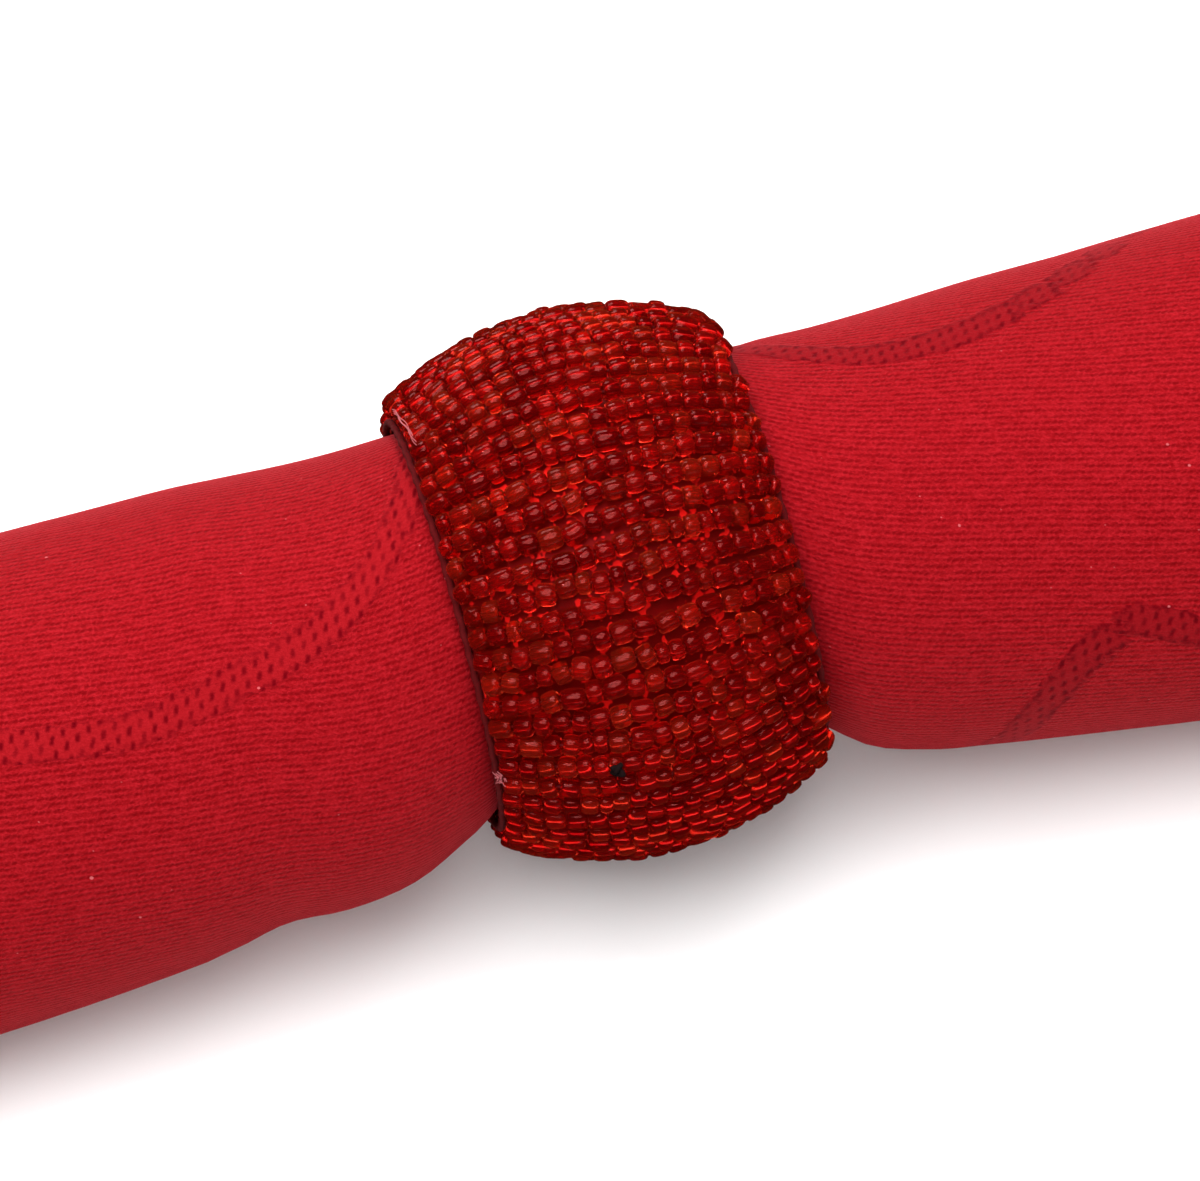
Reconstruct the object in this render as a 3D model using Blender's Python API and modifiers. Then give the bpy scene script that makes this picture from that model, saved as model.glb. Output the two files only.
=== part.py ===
"""A napkin in a ring: a cloth napkin, folded once and rolled, pushed through a crowned ring of beads.

The roll lies along X on the plane z = 0, and the ring's axis is parallel to X. The front is -Y.
Sizes are in metres, apart from the table of sections, which is in millimetres.
"""

import math
from collections import namedtuple

import bpy

MM = 0.001
COLLECTION = "napkin in a ring"

# The ring: a thin crowned band, and the layer of beads that is wound over it.
RING_HALF_WIDTH = 0.0155
CROWN_RADIUS = 0.0256
CROWN_ARC = 0.0295
BEAD_LAYER = 0.0020
BEAD_CORNER = 0.0009
BAND_THICKNESS = 0.0006
BAND_INSET = 0.0007
GAP = 0.0003
RING_Y = 0.0021
RING_Z = CROWN_RADIUS + GAP
RING_FACETS = 54
BAND_FACETS = 45
CROWN_STEPS = 8
CORNER_STEPS = 3

# The napkin: a roll of folded cloth round an open core.
EDGE_ANGLE = math.radians(-32.0)
TWIST_PER_METRE = math.radians(440.0)
EDGE_STEP = 0.0011
ROLL_FACETS = 40
STATION_SPACING = 0.0075

# One row for each section of the roll, from left to right: its place along X, its radius, its
# centre's offset from the ring's axis along Y and its height, and the radius of the open core.
Section = namedtuple("Section", "x radius y z core")
SECTIONS = [
    Section(x=-114.3, radius=23.8, y=-2.0, z=22.4, core=4.6),
    Section(x=-88.0, radius=23.2, y=-1.8, z=21.7, core=5.4),
    Section(x=-64.0, radius=22.5, y=-1.7, z=21.2, core=6.2),
    Section(x=-51.0, radius=22.1, y=-1.9, z=22.2, core=6.6),
    Section(x=-42.0, radius=21.6, y=-1.9, z=22.9, core=7.1),
    Section(x=-36.0, radius=21.0, y=-1.6, z=23.6, core=7.6),
    Section(x=-30.5, radius=21.0, y=-2.2, z=24.2, core=7.8),
    Section(x=-23.0, radius=20.3, y=-2.1, z=24.9, core=8.4),
    Section(x=-19.0, radius=19.4, y=-1.3, z=25.4, core=8.8),
    Section(x=-16.5, radius=18.8, y=-0.7, z=25.7, core=9.1),
    Section(x=-14.5, radius=18.1, y=0.0, z=25.9, core=9.4),
    Section(x=14.5, radius=18.1, y=0.0, z=25.9, core=9.4),
    Section(x=16.5, radius=18.6, y=-1.0, z=25.6, core=9.0),
    Section(x=18.5, radius=19.5, y=-1.8, z=25.3, core=8.6),
    Section(x=24.5, radius=20.6, y=-2.9, z=24.6, core=8.0),
    Section(x=30.5, radius=21.2, y=-3.2, z=23.9, core=7.5),
    Section(x=39.5, radius=22.1, y=-3.4, z=22.8, core=6.9),
    Section(x=48.5, radius=22.8, y=-4.0, z=22.5, core=6.3),
    Section(x=61.0, radius=23.7, y=-4.6, z=22.5, core=5.4),
    Section(x=85.0, radius=24.3, y=-5.2, z=23.1, core=4.7),
    Section(x=114.3, radius=24.6, y=-5.7, z=23.4, core=4.2),
]


def clear_scene():
    for old in list(bpy.data.objects):
        bpy.data.objects.remove(old, do_unlink=True)


def make_material(name, colour, roughness, transmission=0.0):
    material = bpy.data.materials.new(name)
    material.use_nodes = True
    material.diffuse_color = (*colour, 1.0)
    shader = material.node_tree.nodes["Principled BSDF"]
    shader.inputs["Base Color"].default_value = (*colour, 1.0)
    shader.inputs["Roughness"].default_value = roughness
    shader.inputs["Metallic"].default_value = 0.0
    shader.inputs["Transmission Weight"].default_value = transmission
    return material


def add_object(name, vertices, edges, faces, material, collection):
    mesh = bpy.data.meshes.new(name)
    mesh.from_pydata(vertices, edges, faces)
    mesh.materials.append(material)
    mesh.shade_smooth()
    obj = bpy.data.objects.new(name, mesh)
    collection.objects.link(obj)
    return obj


def crown_depth(x):
    """How far the crowned outline has fallen at x from its top at the ring's middle."""
    return CROWN_ARC - math.sqrt(CROWN_ARC**2 - x**2)


def crown_line(radius, half_width):
    """(radius, x) along a line that follows the crown, from the +X rim to the -X rim."""
    steps = [1.0 - 2.0 * i / CROWN_STEPS for i in range(CROWN_STEPS + 1)]
    return [(radius - crown_depth(s * half_width), s * half_width) for s in steps]


def rounded_shoulder(end_radius, side):
    """(radius, x) round the outer corner at one rim, from the crown to the rim's flat end face."""
    centre_radius = end_radius - BEAD_CORNER
    centre_x = RING_HALF_WIDTH - BEAD_CORNER
    angles = [math.pi / 2 * i / CORNER_STEPS for i in range(CORNER_STEPS + 1)]
    return [
        (
            centre_radius + BEAD_CORNER * math.cos(angle),
            side * (centre_x + BEAD_CORNER * math.sin(angle)),
        )
        for angle in angles
    ]


def bead_cover_outline():
    """The closed outline of the bead layer: down its outer side, then back up its inner side."""
    flank = RING_HALF_WIDTH - BEAD_CORNER
    crown = crown_line(CROWN_RADIUS, flank)
    right = rounded_shoulder(crown[0][0], 1.0)[1:]
    left = rounded_shoulder(crown[-1][0], -1.0)[1:]
    inside = crown_line(CROWN_RADIUS - BEAD_LAYER, RING_HALF_WIDTH)
    return right[::-1] + crown + left + inside[::-1]


def ring_band_outline():
    half_width = RING_HALF_WIDTH - BAND_INSET
    outer_radius = CROWN_RADIUS - BEAD_LAYER - GAP
    outside = crown_line(outer_radius, half_width)
    inside = crown_line(outer_radius - BAND_THICKNESS, half_width)
    return outside + inside[::-1]


def add_turned(name, outline, facets, material, collection):
    """Turns a closed outline of (radius, x) points round the ring's axis."""
    vertices = [(radius, 0.0, x) for radius, x in outline]
    edges = [(i, (i + 1) % len(outline)) for i in range(len(outline))]
    obj = add_object(name, vertices, edges, [], material, collection)
    screw = obj.modifiers.new("Turn", "SCREW")
    screw.axis = "Z"
    screw.angle = math.tau
    screw.steps = facets
    screw.render_steps = facets
    screw.use_merge_vertices = True
    screw.merge_threshold = 0.00001
    screw.use_smooth_shade = True
    obj.rotation_euler = (0.0, math.pi / 2, 0.0)
    obj.location = (0.0, RING_Y, RING_Z)
    return obj


def slopes(xs, values):
    """A slope at each point of a table, for a curve that never overshoots the table's values."""
    rises = [(values[i + 1] - values[i]) / (xs[i + 1] - xs[i]) for i in range(len(xs) - 1)]
    inner = [2 * a * b / (a + b) if a * b > 0 else 0.0 for a, b in zip(rises, rises[1:])]
    return [rises[0], *inner, rises[-1]]


def section_at(x):
    """The roll's section at x, in millimetres, on smooth curves through the table."""
    xs = [row.x for row in SECTIONS]
    left = max(i for i in range(len(xs) - 1) if xs[i] <= x or i == 0)
    width = xs[left + 1] - xs[left]
    t = (x - xs[left]) / width
    found = {"x": x}
    for column in ("radius", "y", "z", "core"):
        values = [getattr(row, column) for row in SECTIONS]
        slope = slopes(xs, values)
        found[column] = (
            (1 + 2 * t) * (1 - t) ** 2 * values[left]
            + t * (1 - t) ** 2 * width * slope[left]
            + t**2 * (3 - 2 * t) * values[left + 1]
            - t**2 * (1 - t) * width * slope[left + 1]
        )
    return Section(**found)


def stations():
    """The places along X that get a section: each row's, and enough between them."""
    found = []
    for a, b in zip(SECTIONS, SECTIONS[1:]):
        count = max(1, round((b.x - a.x) * MM / STATION_SPACING))
        found += [a.x + (b.x - a.x) * i / count for i in range(count)]
    return found + [SECTIONS[-1].x]


def section_points(section):
    """The outer and the core points of a section, which both start at the cloth's free edge.

    The outer turn loses one step of height on its way round, and the core loses as much radius, so
    the last point lies under the first one. The plane z = 0 flattens what would reach below it.
    """
    x = section.x * MM
    start = EDGE_ANGLE + TWIST_PER_METRE * x
    rims = ([], [])
    for i in range(ROLL_FACETS):
        turn = i / (ROLL_FACETS - 1)
        angle = start + math.tau * turn
        for rim, full in zip(rims, (section.radius, section.core)):
            radius = full * MM - EDGE_STEP * turn
            y = RING_Y + section.y * MM + radius * math.cos(angle)
            z = section.z * MM + radius * math.sin(angle)
            rim.append((x, y, max(z, 0.0)))
    return rims


def add_napkin(material, collection):
    """The roll, lofted through its sections, with a flat ring of faces at each end."""
    sections = [section_points(section_at(x)) for x in stations()]
    count = ROLL_FACETS
    vertices = [point for outer, core in sections for point in outer + core]
    faces = []
    for i in range(count):
        after = (i + 1) % count
        for s in range(len(sections) - 1):
            near = 2 * count * s
            far = near + 2 * count
            faces.append((near + i, near + after, far + after, far + i))
            near += count
            far += count
            faces.append((near + i, far + i, far + after, near + after))
        faces.append((i, count + i, count + after, after))
        last = 2 * count * (len(sections) - 1)
        faces.append((last + i, last + after, last + count + after, last + count + i))
    return add_object("napkin", vertices, [], faces, material, collection)


def main():
    clear_scene()
    collection = bpy.data.collections.new(COLLECTION)
    bpy.context.scene.collection.children.link(collection)
    cloth = make_material("red satin", (0.47, 0.012, 0.02), 0.55)
    glass = make_material("red glass", (0.45, 0.01, 0.008), 0.12, transmission=0.8)
    lacquer = make_material("dark red lacquer", (0.12, 0.005, 0.006), 0.4)
    add_napkin(cloth, collection)
    add_turned("ring_band", ring_band_outline(), BAND_FACETS, lacquer, collection)
    add_turned("bead_cover", bead_cover_outline(), RING_FACETS, glass, collection)


main()
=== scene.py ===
"""A rolled napkin of red satin damask in a crowned ring of red glass beads.

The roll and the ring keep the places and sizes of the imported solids. The cloth is one thin sheet,
folded once and wound up; the beads are strung in rows across the ring's band.
"""

import math

import bpy
import numpy as np
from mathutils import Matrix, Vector


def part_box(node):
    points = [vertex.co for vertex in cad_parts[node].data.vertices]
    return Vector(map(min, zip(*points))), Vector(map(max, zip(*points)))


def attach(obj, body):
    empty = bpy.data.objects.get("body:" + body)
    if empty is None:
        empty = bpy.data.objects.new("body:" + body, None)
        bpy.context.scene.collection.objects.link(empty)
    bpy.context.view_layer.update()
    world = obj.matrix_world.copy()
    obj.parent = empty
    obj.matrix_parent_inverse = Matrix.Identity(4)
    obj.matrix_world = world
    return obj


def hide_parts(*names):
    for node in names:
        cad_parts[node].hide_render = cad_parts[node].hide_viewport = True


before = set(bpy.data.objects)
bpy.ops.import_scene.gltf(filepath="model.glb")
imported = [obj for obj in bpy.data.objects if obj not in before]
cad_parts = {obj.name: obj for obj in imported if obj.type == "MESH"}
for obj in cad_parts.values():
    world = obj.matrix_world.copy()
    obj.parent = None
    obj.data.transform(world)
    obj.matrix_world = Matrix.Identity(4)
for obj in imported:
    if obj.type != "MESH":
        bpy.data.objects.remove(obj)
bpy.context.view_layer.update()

MM = 0.001
TAU = math.tau
SEED = 29

# The napkin's cut size, and its cloth.
CLOTH_THICKNESS = 0.36 * MM
PLY_SPACING = 0.50 * MM
HEM_WIDTH = 7.0 * MM
HEM_EXTRA = 0.34 * MM
RIB_PITCH = 0.61 * MM
FLOAT_LENGTH = 0.62 * MM
BAND_COLUMN = 1.13 * MM
BAND_ROW = 1.30 * MM

# The cloth's reds: its ribs and the grooves between them, its woven bands and their ticks, whose dark
# red also paints shade on the bands.
RIB_REDS = (0.200, 0.003, 0.005, 1), (0.305, 0.008, 0.013, 1)
GROOVE_RED = (0.108, 0.001, 0.002, 1)
BAND_REDS = (0.190, 0.003, 0.005, 1), (0.290, 0.008, 0.012, 1)
TICK_AND_SHADE_RED = (0.075, 0.0, 0.002, 1)
CLOUD_RED = (0.20, 0.003, 0.006, 1)
# A pale pink for painted glints, where the yarn catches the light.
PAINTED_GLINT_PINK = (0.60, 0.14, 0.15, 1)
STITCH_RED = (0.22, 0.0, 0.004, 1)
STITCH_DEPTH = 6.0

# How it is wound: the free edge's angle about the roll, its twist along the roll, and the turns.
EDGE_ANGLE = math.radians(-32.0)
TWIST_PER_METRE = math.radians(440.0)
TURNS = 5.0
OUTER_TURN_DROP = 1.1 * MM
FACING_TURN = 0.41
OUTER_TURN_STEPS = 96
INNER_TURN_STEPS = 40
FOLD_STEPS = 5
FLOOR_LIFT_PER_TURN = 0.95 * MM

# The ring's beads, with the ranges of their lengths in millimetres.
ROW_COUNT = 60
BEAD_RADIUS = 1.03 * MM
BEAD_HOLE = 0.40
BEAD_SIDES = 16
BEAD_PIECES = 3
USUAL_BEAD = 1.5, 1.85
SHORT_BEAD = 1.15, 1.4
SHORT_SHARE = 0.14
LONG_BEAD = 2.0, 2.3
LONG_SHARE = 0.1
CROWN_ARC = 29.5 * MM
RIM_TURN_RADIUS = 1.30 * MM
RIM_TURN_END = math.radians(75.0)
THREAD_RADIUS = 0.14 * MM
RIM_THREAD_RADIUS = 0.34 * MM
RIM_THREAD_INSET = 0.30 * MM
RIM_THREAD_DEPTH = 4.25 * MM
GLASS_REDS = (0.44, 0.002, 0.003, 1), (0.78, 0.013, 0.010, 1)
GLASS_ORANGE = (0.96, 0.085, 0.022, 1)
GLASS_SWIRL = (0.20, 0.002, 0.003, 1)
LACQUER_REDS = (0.07, 0.001, 0.001, 1), (0.14, 0.002, 0.002, 1)
# A bright red for painted glints on the band, of light let through the beads.
LACQUER_PAINTED_GLINT = (0.70, 0.010, 0.008, 1)

# The small faults on the ring, and a black knot whose colour paints the shade of a hollow: angles
# round it in degrees, and places along it in millimetres.
STRAND_STARTS = (43, 49)
STRAND_ENDS = (60, 67)
TUFT_ANGLE = 157.8
TUFT_X = -15.1
FIBRE_RADIUS = 0.040 * MM
KNOT_ANGLE = 156.0
KNOT_X = -5.2
KNOT_THREAD_RADIUS = 0.24 * MM

# The stage: each light's place, size and power, the room's brightness, and the camera.
FLOOR_GREYS = (0.93, 0.93, 0.93, 1), (0.95, 0.95, 0.95, 1)
FLOOR_REACH = 3.0
LIGHTS = {
    "softbox": ((-0.04, 0.03, 0.85), (0.80, 0.55), 12.0),
    "back_light": ((-0.10, 0.75, 0.45), (0.60, 0.30), 3.8),
    "front_light": ((0.10, -0.75, 0.28), (0.80, 0.30), 0.9),
    "sparkle": ((-0.34, 0.16, 0.80), (0.035, 0.035), 1.1),
}
ROOM_BRIGHTNESS = 0.55
CAMERA_AZIMUTH = math.radians(-13.1)
CAMERA_ELEVATION = math.radians(65.0)
CAMERA_ROLL = math.radians(3.5)
CAMERA_DISTANCE = 0.90
CAMERA_LENS = 297.0
CAMERA_SHIFT = -0.004, -0.008


def smoothstep(low, high, value):
    t = np.clip((value - low) / (high - low), 0.0, 1.0)
    return t * t * (3.0 - 2.0 * t)


def curve_through(x, xs, values):
    """A smooth curve through (xs, values), read at x."""
    slope = np.gradient(values, xs)
    i = np.clip(np.searchsorted(xs, x) - 1, 0, len(xs) - 2)
    width = xs[i + 1] - xs[i]
    t = (x - xs[i]) / width
    return (
        (1 + 2 * t) * (1 - t) ** 2 * values[i]
        + t * (1 - t) ** 2 * width * slope[i]
        + t**2 * (3 - 2 * t) * values[i + 1]
        - t**2 * (1 - t) * width * slope[i + 1]
    )


def add_mesh(name, vertices, faces, smooth=True):
    """An object from an array of points and an array of quads."""
    mesh = bpy.data.meshes.new(name)
    mesh.vertices.add(len(vertices))
    mesh.vertices.foreach_set("co", np.asarray(vertices, np.float32).ravel())
    mesh.loops.add(faces.size)
    mesh.loops.foreach_set("vertex_index", faces.astype(np.int32).ravel())
    mesh.polygons.add(len(faces))
    mesh.polygons.foreach_set("loop_start", np.arange(0, faces.size, faces.shape[1], dtype=np.int32))
    mesh.update(calc_edges=True)
    mesh.validate()
    if smooth:
        mesh.shade_smooth()
    obj = bpy.data.objects.new(name, mesh)
    bpy.context.scene.collection.objects.link(obj)
    return obj


def add_point_value(obj, name, values):
    """A number at each of the object's points, which its material reads by name."""
    layer = obj.data.attributes.new(name, "FLOAT", "POINT")
    layer.data.foreach_set("value", np.asarray(values, np.float32).ravel())


def grid_faces(rows, columns, wrap_rows=False, wrap_columns=False):
    """Quads of a grid of rows x columns points, numbered row by row."""
    r = np.arange(rows if wrap_rows else rows - 1)
    c = np.arange(columns if wrap_columns else columns - 1)
    r, c = (a.ravel() for a in np.meshgrid(r, c, indexing="ij"))
    after_r, after_c = (r + 1) % rows, (c + 1) % columns
    return np.stack(
        [r * columns + c, after_r * columns + c, after_r * columns + after_c, r * columns + after_c],
        axis=1,
    )


# ---------------------------------------------------------------- the roll's shape


def read_sections():
    """The roll's sections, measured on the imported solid: x, centre y and z, radius, core radius."""
    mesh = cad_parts["napkin"].data
    points = np.empty(len(mesh.vertices) * 3, np.float32)
    mesh.vertices.foreach_get("co", points)
    points = points.reshape(-1, 3).astype(float)
    place = np.round(points[:, 0], 5)
    rows = []
    for x in np.unique(place):
        ring = np.unique(np.round(points[place == x][:, 1:], 6), axis=0)
        rough = ring.mean(axis=0)
        far = np.linalg.norm(ring - rough, axis=1)
        core = ring[far < far.max() * 0.62]
        centre = core.mean(axis=0)
        radii = np.linalg.norm(ring - centre, axis=1)
        rows.append((x, *centre, radii.max(), np.linalg.norm(core - centre, axis=1).max()))
    return np.array(rows).T


SECTION_X, SECTION_Y, SECTION_Z, SECTION_RADIUS, SECTION_CORE = read_sections()
LEFT, RIGHT = SECTION_X[0], SECTION_X[-1]


def winding_radius(turn, x):
    """The cloth's radius after so many turns from its free edge, at x."""
    radius = curve_through(x, SECTION_X, SECTION_RADIUS)
    core = curve_through(x, SECTION_X, SECTION_CORE)
    outer = OUTER_TURN_DROP * np.minimum(turn, 1.0)
    inward = np.clip((turn - 1.0) / (TURNS - 1.0), 0.0, 1.0)
    return radius - outer - (radius - OUTER_TURN_DROP - core) * inward


def unevenness(turn, x):
    """Soft dents and swells of the roll, which the inner turns follow less and less truly."""
    angle = TAU * turn
    away = smoothstep(16 * MM, 45 * MM, np.abs(x))
    long_waves = np.sin(angle * 2 + x * 38.0 + 0.6) * 0.16
    long_waves += np.sin(angle * 3 - x * 61.0 + 2.1) * 0.11
    slack = np.sin(angle * 2.0 + x * 17.0) * 0.5 + np.sin(angle * 0.45 + x * 30.0 + 1.3) * 0.5
    loosening = smoothstep(1.0, 3.0, turn) * smoothstep(60 * MM, 110 * MM, np.abs(x))
    return MM * away * (long_waves + slack * loosening)


def cloth_point(turn, x, offset):
    """A point of the cloth: so many turns in, at x along the roll, at an offset from mid-cloth."""
    angle = EDGE_ANGLE + TWIST_PER_METRE * x + TAU * turn
    half_stack = 0.5 * (PLY_SPACING + CLOTH_THICKNESS)
    radius = winding_radius(turn, x) + unevenness(turn, x) + offset - half_stack
    y = curve_through(x, SECTION_X, SECTION_Y) + radius * np.cos(angle)
    z = curve_through(x, SECTION_X, SECTION_Z) + radius * np.sin(angle)
    lowest = FLOOR_LIFT_PER_TURN * turn + half_stack + offset
    return np.stack([x + 0 * y, y, np.maximum(z, lowest)], axis=-1)


def roll_stations():
    """Places along the roll from its right end to its left, close together near the ring."""
    fine = np.arange(-40, 40.1, 1.6) * MM
    coarse = 20
    coarse_left = np.linspace(LEFT, fine[0], coarse)[:-1]
    coarse_right = np.linspace(fine[-1], RIGHT, coarse)[1:]
    return np.concatenate([coarse_left, fine, coarse_right])[::-1]


def arc_lengths(turns, x):
    """How far the cloth runs round the roll to each turn, from the line that faces the front."""
    radius = winding_radius(turns[:, None], x[None, :])
    step = np.diff(turns)[:, None] * TAU * (radius[1:] + radius[:-1]) / 2
    run = np.concatenate([np.zeros((1, len(x))), np.cumsum(step, axis=0)])
    facing = np.array([np.interp(FACING_TURN, turns, column) for column in run.T])
    return run - facing


# ---------------------------------------------------------------- the cloth's woven figure

# Each vine is a line of points (x, b) in millimetres: x along the roll, and b round it across the
# ribs, from the line that faces the front. The figure repeats across the ribs.
VINE_HALF_WIDTH = 1.7 * MM
VINE_REPEAT = 104 * MM
VINES = [
    [(-118, 2), (-98, -7), (-78, -3), (-62, 5), (-48, 6), (-36, 3), (-26, -2), (-19, -8), (-15, -15),
     (-14, -24), (-19, -34), (-30, -40), (-44, -40)],
    [(4, -46), (10, -34), (18, -27), (27, -24), (36, -26), (45, -32), (53, -41), (58, -52)],
    [(27, 34), (31, 23), (36, 12), (41, 6), (45, 4), (49, 6), (55, 10), (64, 12), (74, 8), (84, -2),
     (96, -8), (118, -6)],
    [(-60, 51), (-48, 43), (-36, 39), (-26, 41), (-16, 47), (-4, 50), (10, 49)],
    [(72, -30), (80, -40), (92, -44), (103, -38), (105, -28), (97, -21), (88, -25)],
    [(-70, -30), (-80, -38), (-92, -38), (-100, -30), (-98, -20), (-89, -17), (-82, -23)],
]


def vine_lines():
    """The vines' lines as closely spaced points, in metres."""
    lines = []
    for points in VINES:
        points = np.array(points, float) * MM
        run = np.concatenate([[0], np.cumsum(np.linalg.norm(np.diff(points, axis=0), axis=1))])
        fine = np.linspace(0, run[-1], int(run[-1] / MM))
        lines.append(np.stack([curve_through(fine, run, points[:, i]) for i in (0, 1)], axis=1))
    return np.concatenate(lines)


def distance_to_vines(x, b):
    """How far each cloth point lies from the edge of the nearest woven band, negative inside it."""
    folded = (b + VINE_REPEAT / 2) % VINE_REPEAT - VINE_REPEAT / 2
    spots = np.stack([x.ravel(), folded.ravel()], axis=1)
    line = vine_lines()
    found = np.empty(len(spots))
    batch = 4000
    for start in range(0, len(spots), batch):
        part = spots[start:start + batch]
        gaps = np.linalg.norm(part[:, None, :] - line[None, :, :], axis=2)
        found[start:start + batch] = gaps.min(axis=1)
    return found.reshape(x.shape) - VINE_HALF_WIDTH


# ---------------------------------------------------------------- the cloth's mesh


def sheet_path():
    """(x, offset, run) across the folded cloth: in along the outer ply, round the fold, back out."""
    x = roll_stations()
    half = PLY_SPACING / 2
    turn = np.linspace(0, math.pi, FOLD_STEPS + 2)[1:-1]
    path_x = np.concatenate([x, LEFT - 1.6 * half * np.sin(turn), x[::-1]])
    offset = np.concatenate([np.full(len(x), half), half * np.cos(turn), np.full(len(x), -half)])
    run = np.concatenate([[0], np.cumsum(np.hypot(np.diff(path_x), np.diff(offset)))])
    return path_x, offset, run


def surface_normals(points):
    """The outward normal at each point of a grid of (turn, place across the cloth)."""
    along = np.gradient(points, axis=1)
    round_it = np.gradient(points, axis=0)
    normal = np.cross(round_it, along)
    return normal / np.maximum(np.linalg.norm(normal, axis=2, keepdims=True), 1e-12)


def build_napkin():
    """The napkin as one closed thin sheet: its outer face, its inner face, and the rim between."""
    turns = np.concatenate([
        np.linspace(0, 1, OUTER_TURN_STEPS, endpoint=False),
        np.linspace(1, TURNS, int(INNER_TURN_STEPS * (TURNS - 1)) + 1),
    ])
    path_x, offset, run = sheet_path()
    shape = (len(turns), len(path_x))
    points = cloth_point(turns[:, None], path_x[None, :], offset[None, :])
    across = arc_lengths(turns, path_x)
    from_sides = np.minimum(run, run[-1] - run)[None, :]
    from_ends = np.minimum(across - across[0], across[-1] - across)
    inside_hem = np.minimum(from_sides, from_ends)
    hem = smoothstep(HEM_WIDTH, HEM_WIDTH - 0.8 * MM, inside_hem)
    thickness = CLOTH_THICKNESS + HEM_EXTRA * hem
    normals = surface_normals(points)
    half = 0.5 * thickness[..., None] * normals
    vertices = np.concatenate([(points + half).reshape(-1, 3), (points - half).reshape(-1, 3)])
    rows, columns = shape
    count = rows * columns
    top = grid_faces(rows, columns)
    number = np.arange(count).reshape(shape)
    border = np.concatenate([number[0, :-1], number[:-1, -1], number[-1, :0:-1], number[:0:-1, 0]])
    after = np.roll(border, -1)
    rim = np.stack([border, after, after + count, border + count], axis=1)
    faces = np.concatenate([top, top[:, ::-1] + count, rim])
    napkin = add_mesh("napkin_cloth", vertices, faces)

    coordinates = np.stack([np.broadcast_to(run, shape), across], axis=-1).reshape(-1, 2)
    coordinates = np.concatenate([coordinates, coordinates])
    uv = napkin.data.uv_layers.new(name="cloth")
    corners = np.empty(len(napkin.data.loops), np.int32)
    napkin.data.loops.foreach_get("vertex_index", corners)
    uv.uv.foreach_set("vector", coordinates[corners].astype(np.float32).ravel())
    # Painted shade: the bands right of the ring are coloured darker than those left of it, for the way
    # their floats catch the light there.
    sheet_values = {
        "painted_band_shade": smoothstep(-15 * MM, 15 * MM, path_x),
        "figure": distance_to_vines(np.broadcast_to(path_x, shape), across) / MM,
        "hem_depth": inside_hem / MM,
    }
    for name, values in sheet_values.items():
        one_face = np.broadcast_to(values, shape).ravel()
        add_point_value(napkin, name, np.concatenate([one_face, one_face]))
    return napkin


# ---------------------------------------------------------------- shader helpers


class Nodes:
    """A short way to write node trees: each call makes a node and returns its output."""

    def __init__(self, name):
        self.material = bpy.data.materials.new(name)
        self.material.use_nodes = True
        self.tree = self.material.node_tree
        self.shader = self.tree.nodes["Principled BSDF"]

    def put(self, socket, value):
        if isinstance(value, bpy.types.NodeSocket):
            self.tree.links.new(value, socket)
        else:
            socket.default_value = value

    def math(self, operation, a, b=0.0, c=0.0):
        node = self.tree.nodes.new("ShaderNodeMath")
        node.operation = operation
        for socket, value in zip(node.inputs, (a, b, c)):
            self.put(socket, value)
        return node.outputs[0]

    def ramp(self, value, low, high, to_low=0.0, to_high=1.0):
        node = self.tree.nodes.new("ShaderNodeMapRange")
        node.interpolation_type = "SMOOTHSTEP"
        names = ("Value", "From Min", "From Max", "To Min", "To Max")
        for name, entry in zip(names, (value, low, high, to_low, to_high)):
            self.put(node.inputs[name], entry)
        return node.outputs[0]

    def mix(self, factor, a, b):
        node = self.tree.nodes.new("ShaderNodeMix")
        node.data_type = "RGBA"
        self.put(node.inputs["Factor"], factor)
        colours = [s for s in node.inputs if s.type == "RGBA"]
        self.put(colours[0], a)
        self.put(colours[1], b)
        return next(s for s in node.outputs if s.type == "RGBA")

    def noise(self, vector, scale, detail=2.0, roughness=0.5):
        node = self.tree.nodes.new("ShaderNodeTexNoise")
        self.put(node.inputs["Vector"], vector)
        node.inputs["Scale"].default_value = scale
        node.inputs["Detail"].default_value = detail
        node.inputs["Roughness"].default_value = roughness
        return node.outputs["Fac"]

    def white_noise(self, vector):
        node = self.tree.nodes.new("ShaderNodeTexWhiteNoise")
        node.noise_dimensions = "2D"
        self.put(node.inputs["Vector"], vector)
        return node.outputs["Value"]

    def vector(self, x, y, z=0.0):
        node = self.tree.nodes.new("ShaderNodeCombineXYZ")
        for socket, value in zip(node.inputs, (x, y, z)):
            self.put(socket, value)
        return node.outputs[0]

    def attribute(self, name):
        node = self.tree.nodes.new("ShaderNodeAttribute")
        node.attribute_name = name
        return node.outputs["Fac"]

    def uv(self, name):
        node = self.tree.nodes.new("ShaderNodeUVMap")
        node.uv_map = name
        split = self.tree.nodes.new("ShaderNodeSeparateXYZ")
        self.tree.links.new(node.outputs[0], split.inputs[0])
        return split.outputs[0], split.outputs[1]

    def object_place(self):
        return self.tree.nodes.new("ShaderNodeTexCoord").outputs["Object"]

    def bump(self, height, distance, strength=1.0):
        node = self.tree.nodes.new("ShaderNodeBump")
        node.inputs["Strength"].default_value = strength
        node.inputs["Distance"].default_value = distance
        self.put(node.inputs["Height"], height)
        self.put(self.shader.inputs["Normal"], node.outputs[0])

    def set(self, **values):
        for name, value in values.items():
            self.put(self.shader.inputs[name.replace("_", " ")], value)


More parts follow.
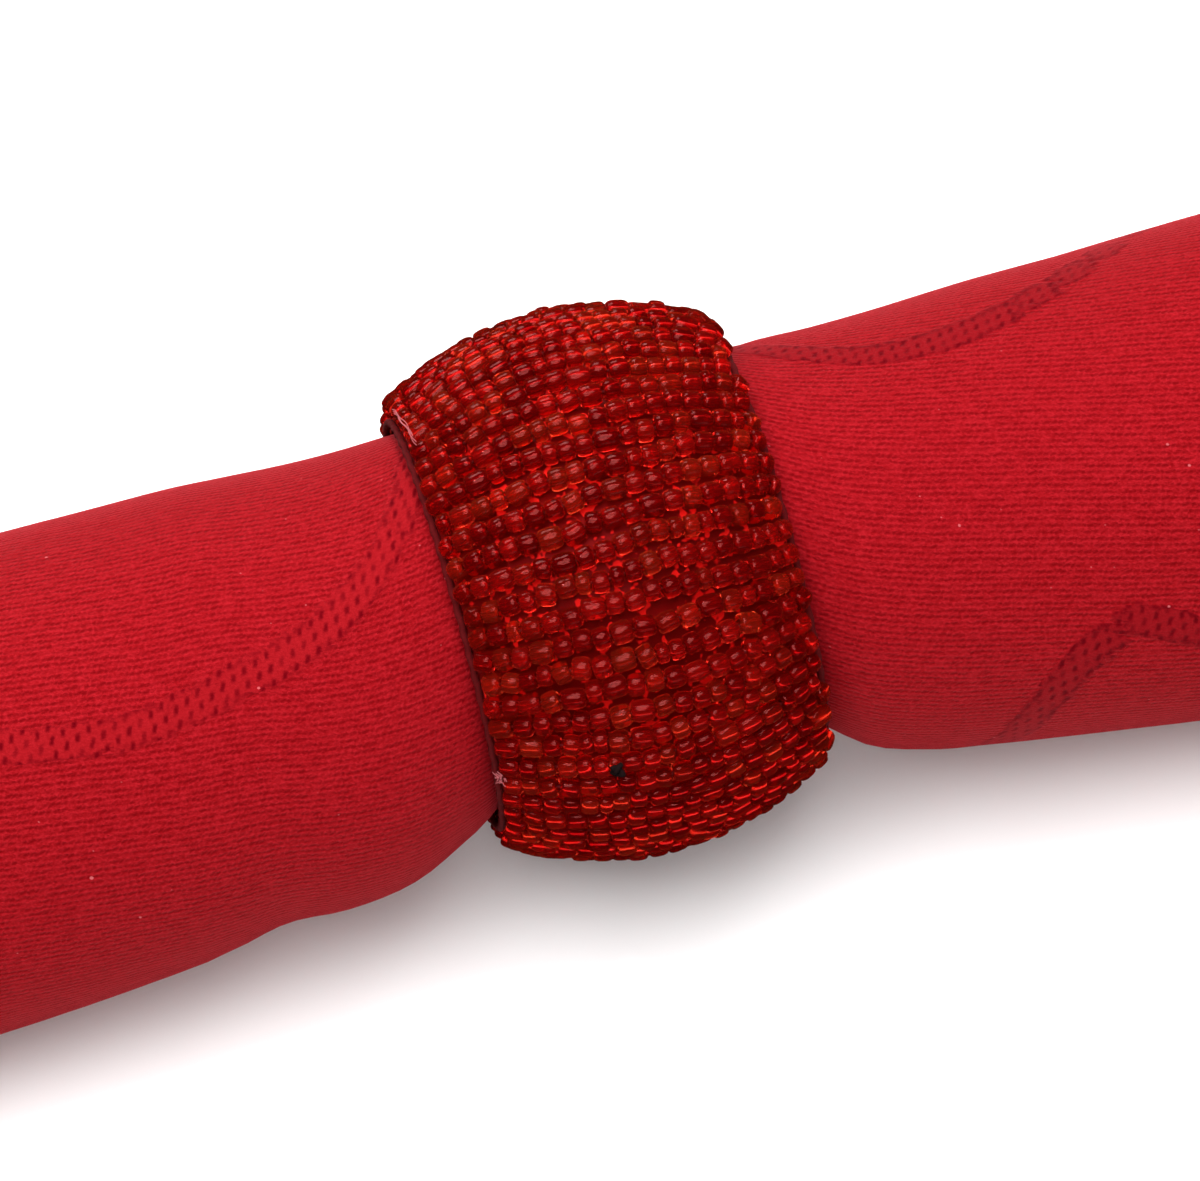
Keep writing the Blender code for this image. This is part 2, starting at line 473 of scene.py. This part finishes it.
def stroke_pattern(n, along, across, pitch, length, slant, shift, width, least):
    """Lines of slanted strokes: 1 in a stroke's middle, least at its ends, and 0 between the lines.

    The second value is a random tone, one for each stroke.
    """
    line = n.math("DIVIDE", across, pitch)
    row = n.math("ROUND", line)
    off_line = n.math("SUBTRACT", line, row)
    travel = n.math("ADD", n.math("DIVIDE", along, length), n.math("MULTIPLY", row, shift))
    part = n.math("FRACT", travel)
    lean = n.math("MULTIPLY", n.math("SUBTRACT", part, 0.5), slant)
    gap = n.math("ABSOLUTE", n.math("SUBTRACT", off_line, lean))
    body = n.ramp(gap, width, 0.04)
    swell = n.ramp(n.math("ABSOLUTE", n.math("SUBTRACT", part, 0.5)), 0.5, 0.12)
    tone = n.white_noise(n.vector(row, n.math("FLOOR", travel)))
    return n.math("MULTIPLY", body, n.math("MULTIPLY_ADD", swell, 1.0 - least, least)), tone


def cloth_material():
    """Satin damask: fine ribs of slanted floats, and bands where the floats cross the ribs."""
    n = Nodes("red satin damask")
    along, across = n.uv("cloth")
    drift = n.noise(n.vector(along, across), 90.0, 3.0)
    wander = n.math("MULTIPLY", n.math("SUBTRACT", drift, 0.5), 0.5 * MM)
    across_ribs = n.math("ADD", across, wander)

    # The floats waver from thread to thread, and some of the grooves between them close up.
    shake = n.noise(n.vector(along, n.math("MULTIPLY", across, 1.4), 0.3), 1100.0, 2.0, 0.6)
    shake = n.math("SUBTRACT", shake, 0.5)
    ribs, rib_tone = stroke_pattern(
        n,
        n.math("MULTIPLY_ADD", shake, 1.6 * MM, along),
        n.math("MULTIPLY_ADD", shake, 0.42 * MM, across_ribs),
        pitch=RIB_PITCH,
        length=FLOAT_LENGTH,
        slant=0.24,
        shift=0.38,
        width=0.44,
        least=0.68,
    )
    broken = n.noise(n.vector(n.math("MULTIPLY", along, 0.55), across, 0.7), 1300.0, 2.0)
    ribs = n.math("MULTIPLY", ribs, n.ramp(broken, 0.34, 0.58, 0.40, 1.0))

    # The ticks of the bands run across the ribs, in columns.
    ticks, tick_tone = stroke_pattern(
        n,
        n.math("MULTIPLY_ADD", shake, 0.5 * MM, across),
        n.math("MULTIPLY_ADD", shake, 0.5 * MM, along),
        pitch=BAND_COLUMN,
        length=BAND_ROW,
        slant=0.36,
        shift=0.5,
        width=0.30,
        least=0.0,
    )
    ticks = n.math("MULTIPLY", ticks, n.ramp(tick_tone, 0.0, 0.7, 0.55, 1.0))

    # A band's edge runs in steps, one thread at a time.
    column = n.math("ROUND", n.math("DIVIDE", along, BAND_COLUMN))
    rib = n.math("ROUND", n.math("DIVIDE", across, RIB_PITCH))
    step = n.noise(n.vector(n.math("MULTIPLY", column, 0.37), n.math("MULTIPLY", rib, 0.21)), 9.0)
    edge_steps = n.math("MULTIPLY", n.math("SUBTRACT", step, 0.5), 1.3)
    figure = n.math("ADD", n.attribute("figure"), edge_steps)
    in_band = n.ramp(figure, 0.14, -0.14)

    band_streaks = n.noise(n.vector(along, n.math("MULTIPLY", across, 0.16)), 3000.0, 2.0)
    cloud = n.noise(n.vector(along, across), 38.0, 3.0)
    # Painted glints: tiny pale pink specks where the yarn catches the light.
    painted_glint = n.ramp(n.noise(n.vector(along, across, 0.9), 1500.0, 0.0), 0.86, 0.91)

    grain = n.noise(n.vector(n.math("MULTIPLY", along, 0.7), across), 4200.0, 2.0, 0.7)
    grain = n.ramp(grain, 0.30, 0.72)
    weave_tone = n.math("MULTIPLY_ADD", n.math("SUBTRACT", rib_tone, 0.5), 0.35, grain)
    rib_red = n.mix(weave_tone, *RIB_REDS)
    rib_red = n.mix(n.math("MULTIPLY", ribs, 0.82), rib_red, GROOVE_RED)
    band_tone = n.math("MULTIPLY_ADD", grain, 0.5, n.math("MULTIPLY", band_streaks, 0.5))
    band_red = n.mix(band_tone, *BAND_REDS)
    band_red = n.mix(n.math("MULTIPLY", ticks, 0.85), band_red, TICK_AND_SHADE_RED)
    # Painted shade: each band is darkened along its edges, where its raised floats would shade the
    # cloth.
    painted_edge_shade = n.ramp(n.math("ABSOLUTE", n.math("ADD", figure, 0.25)), 0.45, 0.0)
    painted_edge_shade = n.math("MULTIPLY", painted_edge_shade, n.ramp(shake, -0.12, 0.10))
    painted_edge_shade = n.math("MULTIPLY", painted_edge_shade, 0.50)
    # Painted shade: the bands right of the ring are darkened towards the ticks' dark red.
    shade = n.math("MULTIPLY_ADD", n.attribute("painted_band_shade"), 0.30, painted_edge_shade)
    band_red = n.mix(shade, band_red, TICK_AND_SHADE_RED)
    red = n.mix(in_band, rib_red, band_red)
    red = n.mix(n.math("MULTIPLY", n.ramp(cloud, 0.35, 0.75), 0.12), red, CLOUD_RED)
    red = n.mix(n.math("MULTIPLY", painted_glint, 0.5), red, PAINTED_GLINT_PINK)

    from_stitches = n.math("SUBTRACT", n.attribute("hem_depth"), STITCH_DEPTH)
    stitch_line = n.ramp(n.math("ABSOLUTE", from_stitches), 0.35, 0.10)
    red = n.mix(n.math("MULTIPLY", stitch_line, 0.35), red, STITCH_RED)

    height = n.math("SUBTRACT", 1.0, n.math("MULTIPLY", ribs, n.math("SUBTRACT", 1.0, in_band)))
    height = n.math("SUBTRACT", height, n.math("MULTIPLY", ticks, in_band))
    height = n.math("ADD", height, n.math("MULTIPLY", grain, 0.45))
    height = n.math("ADD", height, n.math("MULTIPLY", n.ramp(figure, 0.45, -0.45), 2.0))
    height = n.math("SUBTRACT", height, n.math("MULTIPLY", stitch_line, 1.5))
    n.bump(height, 0.05 * MM, 0.9)
    n.set(
        Base_Color=red,
        Roughness=n.ramp(in_band, 0.0, 1.0, 0.50, 0.58),
        Sheen_Weight=0.42,
        Sheen_Roughness=0.3,
        Sheen_Tint=(1.0, 0.09, 0.11, 1),
        Specular_IOR_Level=0.03,
        Specular_Tint=(1.0, 0.04, 0.06, 1),
    )
    return n.material


def bead_material():
    """Transparent red glass, some beads more orange and some deeper."""
    n = Nodes("red glass beads")
    tone = n.attribute("tone")
    hue = n.attribute("hue")
    deep = n.mix(tone, *GLASS_REDS)
    edge = n.tree.nodes.new("ShaderNodeLayerWeight").outputs["Facing"]
    warmth = n.math("MULTIPLY", n.ramp(edge, 0.3, 0.95), n.math("MULTIPLY_ADD", hue, 0.5, 0.4))
    warmth = n.math("ADD", warmth, n.math("MULTIPLY", n.ramp(hue, 0.6, 1.0), 0.35))
    red = n.mix(warmth, deep, GLASS_ORANGE)
    swirl = n.noise(n.object_place(), 900.0, 2.0)
    red = n.mix(n.math("MULTIPLY", swirl, 0.25), red, GLASS_SWIRL)
    n.bump(n.noise(n.object_place(), 1500.0, 2.0), 0.02 * MM, 0.4)
    n.set(
        Base_Color=red,
        Roughness=n.ramp(swirl, 0.3, 0.8, 0.07, 0.16),
        Transmission_Weight=0.92,
        IOR=1.40,
        Specular_IOR_Level=0.2,
        Specular_Tint=(0.66, 0.16, 0.15, 1),
    )
    return n.material


def thread_material(name, colour, roughness):
    """Matt twisted thread or fibre, darker between its strands."""
    n = Nodes(name)
    twist = n.noise(n.object_place(), 2400.0, 2.0)
    dark = tuple(0.6 * c for c in colour)
    n.bump(twist, 0.03 * MM, 0.8)
    n.set(
        Base_Color=n.mix(twist, (*colour, 1), (*dark, 1)),
        Roughness=roughness,
        Specular_IOR_Level=0.1,
    )
    return n.material


def lacquer_material():
    """The band under the beads: dark red lacquer with fine brush lines, and bright red specks that are
    painted glints of light let through the beads.
    """
    n = Nodes("dark red lacquer")
    place = n.object_place()
    cloud = n.noise(place, 300.0, 3.0)
    # Painted glints: bright red spots for light focused through the beads onto the band.
    painted_glint = n.ramp(n.noise(place, 1100.0, 1.0), 0.56, 0.64)
    red = n.mix(painted_glint, n.mix(cloud, *LACQUER_REDS), LACQUER_PAINTED_GLINT)
    n.bump(cloud, 0.05 * MM, 0.5)
    n.set(
        Base_Color=red,
        Roughness=n.ramp(cloud, 0.3, 0.7, 0.25, 0.42),
        Specular_IOR_Level=0.2,
        Specular_Tint=(1.0, 0.05, 0.05, 1),
    )
    return n.material


def floor_material():
    n = Nodes("white table")
    grain = n.noise(n.object_place(), 60.0, 2.0)
    n.set(Base_Color=n.mix(grain, *FLOOR_GREYS), Roughness=0.9)
    return n.material


# ---------------------------------------------------------------- the ring's beads


def ring_measures():
    """The ring's middle, half of its width, its crown's radius, and the band's under the beads."""
    low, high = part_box("bead_cover")
    band_low, band_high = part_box("ring_band")
    return {
        "y": (low.y + high.y) / 2,
        "z": (low.z + high.z) / 2,
        "x": (low.x + high.x) / 2,
        "half_width": (high.x - low.x) / 2,
        "crown": (high.y - low.y) / 2,
        "band": (band_high.y - band_low.y) / 2,
    }


def row_path(ring):
    """The line of bead centres across the ring, as (x, radius), from rim to rim over the crown."""
    arc = CROWN_ARC - (ring["crown"] - ring["band"]) / 2
    top = ring["band"] + BEAD_RADIUS + 0.06 * MM
    shoulder = ring["half_width"] - RIM_TURN_RADIUS
    slope = math.asin(shoulder / arc)
    crown_angles = np.linspace(-slope, slope, 81)
    crown = np.stack([arc * np.sin(crown_angles), top - arc + arc * np.cos(crown_angles)], axis=1)
    turn = np.linspace(slope, RIM_TURN_END, 14)[1:]
    hub = crown[-1] - RIM_TURN_RADIUS * np.array([math.sin(slope), math.cos(slope)])
    rim = hub + RIM_TURN_RADIUS * np.stack([np.sin(turn), np.cos(turn)], axis=1)
    return np.concatenate([rim[::-1] * (-1, 1), crown, rim])


def place_beads(ring, rng):
    """The beads: a table of (row, place along it, length, phase), their x, radius and heading."""
    path = row_path(ring)
    run = np.concatenate([[0], np.cumsum(np.linalg.norm(np.diff(path, axis=0), axis=1))])
    beads = []
    for row in range(ROW_COUNT):
        at = rng.uniform(0.0, 0.5) * MM
        phase = rng.uniform(0, TAU)
        while at < run[-1] - 0.8 * MM:
            kind = rng.random()
            if kind < SHORT_SHARE:
                span = SHORT_BEAD
            elif kind > 1 - LONG_SHARE:
                span = LONG_BEAD
            else:
                span = USUAL_BEAD
            length = rng.uniform(*span) * MM
            beads.append((row, at + length / 2, length, phase))
            at += length + rng.uniform(0.02, 0.14) * MM
    table = np.array(beads)
    place = table[:, 1]
    x, radius = (np.interp(place, run, path[:, i]) for i in (0, 1))
    ahead, behind = (
        np.stack([np.interp(place + reach, run, path[:, i]) for i in (0, 1)], axis=1)
        for reach in (0.3 * MM, -0.3 * MM)
    )
    heading = ahead - behind
    heading /= np.linalg.norm(heading, axis=1, keepdims=True)
    return table, x, radius, heading


def bead_profile():
    """(axial, radial) round a bead's section, in units of half its length and of its radius."""
    outer = [(-1.0, 0.54), (-0.94, 0.76), (-0.78, 0.91), (-0.45, 0.985), (0.0, 1.0)]
    outer += [(-a, r) for a, r in outer[-2::-1]]
    inner = [(0.90, BEAD_HOLE), (0.0, BEAD_HOLE * 0.92), (-0.90, BEAD_HOLE)]
    return np.array(outer + inner)


def build_beads(ring, rng):
    """The beads, in pieces that each hold a share of the rows, and each bead's row and centre."""
    table, x, radius, heading = place_beads(ring, rng)
    count = len(table)
    rows, phases = table[:, 0], table[:, 3]

    # The rows wander a little sideways, most in their middle, and each bead sits a little off its row.
    middle = 1 - np.abs(x) / ring["half_width"]
    sway = np.sin(x * 230 + 0.55 * rows) * 0.21 + np.sin(x * 520 - 0.85 * rows) * 0.12
    sway += np.sin(x * 330 + phases) * 0.09
    sideways = (sway + rng.normal(0, 0.10, count)) * MM * np.clip(0.25 + middle, 0, 1)
    angle = TAU * rows / ROW_COUNT + sideways / radius
    lift = rng.normal(0, 0.09, count) * MM
    size = BEAD_RADIUS * np.clip(rng.normal(1.0, 0.045, count), 0.88, 1.07)

    # Each bead's own axes: along its hole, which tilts a little, and two across it.
    out = np.stack([0 * angle, np.cos(angle), np.sin(angle)], axis=1)
    side = np.stack([0 * angle, -np.sin(angle), np.cos(angle)], axis=1)
    along = np.array([1.0, 0.0, 0.0])
    axis = heading[:, :1] * along + heading[:, 1:] * out
    axis += side * rng.normal(0, 0.11, count)[:, None] + out * rng.normal(0, 0.05, count)[:, None]
    axis /= np.linalg.norm(axis, axis=1, keepdims=True)
    first = np.cross(axis, side)
    first /= np.linalg.norm(first, axis=1, keepdims=True)
    second = np.cross(axis, first)
    centre = np.array([ring["x"], ring["y"], ring["z"]]) + x[:, None] * along
    centre = centre + (radius + lift)[:, None] * out

    profile = bead_profile()
    spin = TAU * np.arange(BEAD_SIDES) / BEAD_SIDES
    lump = 1 + rng.normal(0, 0.02, (count, 1, BEAD_SIDES))
    half = (table[:, 2] / 2)[:, None, None, None]
    axial = half * profile[None, :, :1, None] * axis[:, None, None, :]
    reach = size[:, None, None] * profile[None, :, 1:] * lump
    round_it = np.cos(spin)[None, None, :, None] * first[:, None, None, :]
    round_it = round_it + np.sin(spin)[None, None, :, None] * second[:, None, None, :]
    vertices = centre[:, None, None, :] + axial + reach[..., None] * round_it
    per_bead = len(profile) * BEAD_SIDES
    quads = grid_faces(len(profile), BEAD_SIDES, wrap_rows=True, wrap_columns=True)[:, ::-1]
    tone = rng.random(count)
    hue = rng.random(count)

    pieces = []
    share = math.ceil(ROW_COUNT / BEAD_PIECES)
    for part in range(BEAD_PIECES):
        chosen = np.flatnonzero((rows >= part * share) & (rows < (part + 1) * share))
        base = np.arange(len(chosen))[:, None, None] * per_bead
        faces = (quads[None] + base).reshape(-1, 4)
        piece = add_mesh(f"beads_{part + 1}", vertices[chosen].reshape(-1, 3), faces)
        add_point_value(piece, "tone", np.repeat(tone[chosen], per_bead))
        add_point_value(piece, "hue", np.repeat(hue[chosen], per_bead))
        pieces.append(piece)
    return pieces, rows, centre


def tube(points, radius, sides=6):
    """Points and quads of a thin open-ended tube along a line of points."""
    forward = np.gradient(points, axis=0)
    forward /= np.linalg.norm(forward, axis=1, keepdims=True)
    guide = np.where(np.abs(forward[:, :1]) > 0.9, [[0.0, 0.0, 1.0]], [[1.0, 0.0, 0.0]])
    first = np.cross(forward, guide)
    first /= np.linalg.norm(first, axis=1, keepdims=True)
    second = np.cross(forward, first)
    spin = TAU * np.arange(sides) / sides
    ring = np.cos(spin)[None, :, None] * first[:, None] + np.sin(spin)[None, :, None] * second[:, None]
    vertices = points[:, None] + radius * ring
    return vertices.reshape(-1, 3), grid_faces(len(points), sides, wrap_columns=True)


def join_tubes(name, lines, radius):
    """One piece from a tube along each line."""
    vertices, faces, base = [], [], 0
    for line in lines:
        v, f = tube(np.asarray(line), radius)
        vertices.append(v)
        faces.append(f + base)
        base += len(v)
    return add_mesh(name, np.concatenate(vertices), np.concatenate(faces))


def build_row_threads(rows, centre):
    """The thread through each row's beads, which shows in the gaps between them."""
    return join_tubes("row_threads", [centre[rows == row] for row in range(ROW_COUNT)], THREAD_RADIUS)


def build_rim_threads(ring):
    """A thick edging thread inside each rim, which fills the gap under the rows' ends."""
    spin = np.linspace(0, TAU, 241)
    lines = []
    for side in (-1, 1):
        x = side * (ring["half_width"] - RIM_THREAD_INSET) + 0.06 * MM * np.sin(spin * ROW_COUNT)
        radius = ring["band"] - RIM_THREAD_DEPTH + 0.10 * MM * np.cos(spin * ROW_COUNT)
        lines.append(np.stack([
            ring["x"] + x, ring["y"] + radius * np.cos(spin), ring["z"] + radius * np.sin(spin)
        ], axis=1))
    return join_tubes("rim_threads", lines, RIM_THREAD_RADIUS)


def on_ring(ring, x, lift, angle):
    """A point at x that stands lift above the crowned beads, at an angle round the ring."""
    radius = ring["crown"] - (CROWN_ARC - np.sqrt(CROWN_ARC**2 - x**2)) + lift
    y = ring["y"] + radius * np.cos(angle)
    z = ring["z"] + radius * np.sin(angle)
    return np.stack([ring["x"] + x + 0 * y, y, z], axis=-1)


def build_loose_fibres(ring, rng):
    """Pale fibres caught on the beads at the left rim: a few long ones, and a frayed tuft."""
    lines = []
    t = np.linspace(0, 1, 30)
    for _ in range(4):
        start = np.radians(rng.uniform(*STRAND_STARTS))
        end = np.radians(rng.uniform(*STRAND_ENDS))
        x = -ring["half_width"] + (0.35 + 0.7 * t + 0.08 * np.sin(rng.uniform(8, 14) * t)) * MM
        lift = (0.02 + 0.08 * np.sin(rng.uniform(5, 11) * t + rng.uniform(0, 6))) * MM
        lines.append(on_ring(ring, x, lift, start + (end - start) * t))
    t = np.linspace(0, 1, 7)
    for _ in range(16):
        root = np.radians(TUFT_ANGLE + rng.uniform(-1.2, 1.2))
        x = (TUFT_X + rng.uniform(-0.3, 0.3) + rng.uniform(-0.7, 0.3) * t) * MM
        lift = (-0.2 + rng.uniform(0.2, 0.6) * t - 0.4 * t**2) * MM
        lines.append(on_ring(ring, x, lift, root + rng.uniform(-0.03, 0.03) * t))
    return join_tubes("loose_fibres", lines, FIBRE_RADIUS)


def build_shade_knot(ring):
    """A knot of thread among the beads, painted black as the shade of a dark hollow there."""
    t = np.linspace(0, TAU, 60)
    x = (KNOT_X + 0.42 * np.sin(3 * t) + 0.10 * np.sin(7 * t)) * MM
    angle = np.radians(KNOT_ANGLE) + 0.019 * np.cos(2 * t)
    lift = (-0.15 + 0.25 * np.sin(5 * t)) * MM
    return join_tubes("shade_knot", [on_ring(ring, x, lift, angle)], KNOT_THREAD_RADIUS)


# ---------------------------------------------------------------- stage, lights and camera


def add_floor():
    """A wide white table, which the glass and the cloth's gloss don't mirror."""
    corners = FLOOR_REACH * np.array([(-1, -1, 0), (1, -1, 0), (1, 1, 0), (-1, 1, 0)])
    floor = add_mesh("floor", corners, np.array([[0, 1, 2, 3]]), smooth=False)
    floor.data.materials.append(floor_material())
    floor.visible_glossy = False


def aim(obj, target):
    """Turns a light so that it shines at the target."""
    obj.rotation_euler = (Vector(target) - obj.location).to_track_quat("-Z", "Y").to_euler()


def add_area_light(name, place, target, size, power):
    light = bpy.data.lights.new(name, "AREA")
    light.shape = "RECTANGLE"
    light.size, light.size_y = size
    light.energy = power
    obj = bpy.data.objects.new(name, light)
    obj.location = place
    bpy.context.scene.collection.objects.link(obj)
    aim(obj, target)


def add_lights(target):
    """A softbox overhead, soft lights behind and before, a small one for glints, and a white room."""
    for name, (place, size, power) in LIGHTS.items():
        add_area_light(name, place, target, size, power)
    world = bpy.data.worlds.new("studio")
    world.use_nodes = True
    background = world.node_tree.nodes["Background"]
    background.inputs["Color"].default_value = (1, 1, 1, 1)
    background.inputs["Strength"].default_value = ROOM_BRIGHTNESS
    world.cycles_visibility.glossy = False
    bpy.context.scene.world = world


def add_camera(target):
    """A long lens at the roll's near left, which shows the ring and the napkin's middle."""
    camera = bpy.data.cameras.new("camera")
    camera.lens = CAMERA_LENS
    camera.sensor_width = 36.0
    camera.clip_start = 0.01
    camera.clip_end = 20.0
    camera.shift_x, camera.shift_y = CAMERA_SHIFT
    obj = bpy.data.objects.new("camera", camera)
    bpy.context.scene.collection.objects.link(obj)
    back = Vector((
        math.sin(CAMERA_AZIMUTH) * math.cos(CAMERA_ELEVATION),
        -math.cos(CAMERA_AZIMUTH) * math.cos(CAMERA_ELEVATION),
        math.sin(CAMERA_ELEVATION),
    ))
    obj.location = Vector(target) + back * CAMERA_DISTANCE
    turned = (-back).to_track_quat("-Z", "Y").to_matrix()
    obj.rotation_euler = turned.to_euler()
    obj.rotation_euler.rotate_axis("Z", -CAMERA_ROLL)
    bpy.context.scene.camera = obj


# ---------------------------------------------------------------- the scene

rng = np.random.default_rng(SEED)
ring = ring_measures()
ring_centre = (ring["x"], ring["y"], ring["z"])

add_camera(ring_centre)
add_lights(ring_centre)
add_floor()
bpy.context.scene.view_settings.view_transform = "Standard"

napkin = build_napkin()
napkin.data.materials.append(cloth_material())
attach(napkin, "root")
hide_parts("napkin")

beads, rows, centre = build_beads(ring, rng)
glass = bead_material()
for piece in beads:
    piece.data.materials.append(glass)
    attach(piece, "root")
    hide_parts("bead_cover")

row_threads = build_row_threads(rows, centre)
row_threads.data.materials.append(thread_material("dark red thread", (0.12, 0.004, 0.005), 0.7))
rim_threads = build_rim_threads(ring)
rim_threads.data.materials.append(thread_material("deep red edging thread", (0.09, 0.002, 0.003), 0.9))
knot = build_shade_knot(ring)
# The knot's black is painted shade, for a dark hollow among the beads.
knot.data.materials.append(thread_material("black thread", (0.008, 0.002, 0.002), 0.9))
for piece in (row_threads, rim_threads, knot):
    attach(piece, "root")

loose_fibres = build_loose_fibres(ring, rng)
loose_fibres.data.materials.append(thread_material("pale pink fibre", (0.42, 0.10, 0.11), 0.8))
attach(loose_fibres, "root")

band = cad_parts["ring_band"]
band.material_slots[0].material = lacquer_material()
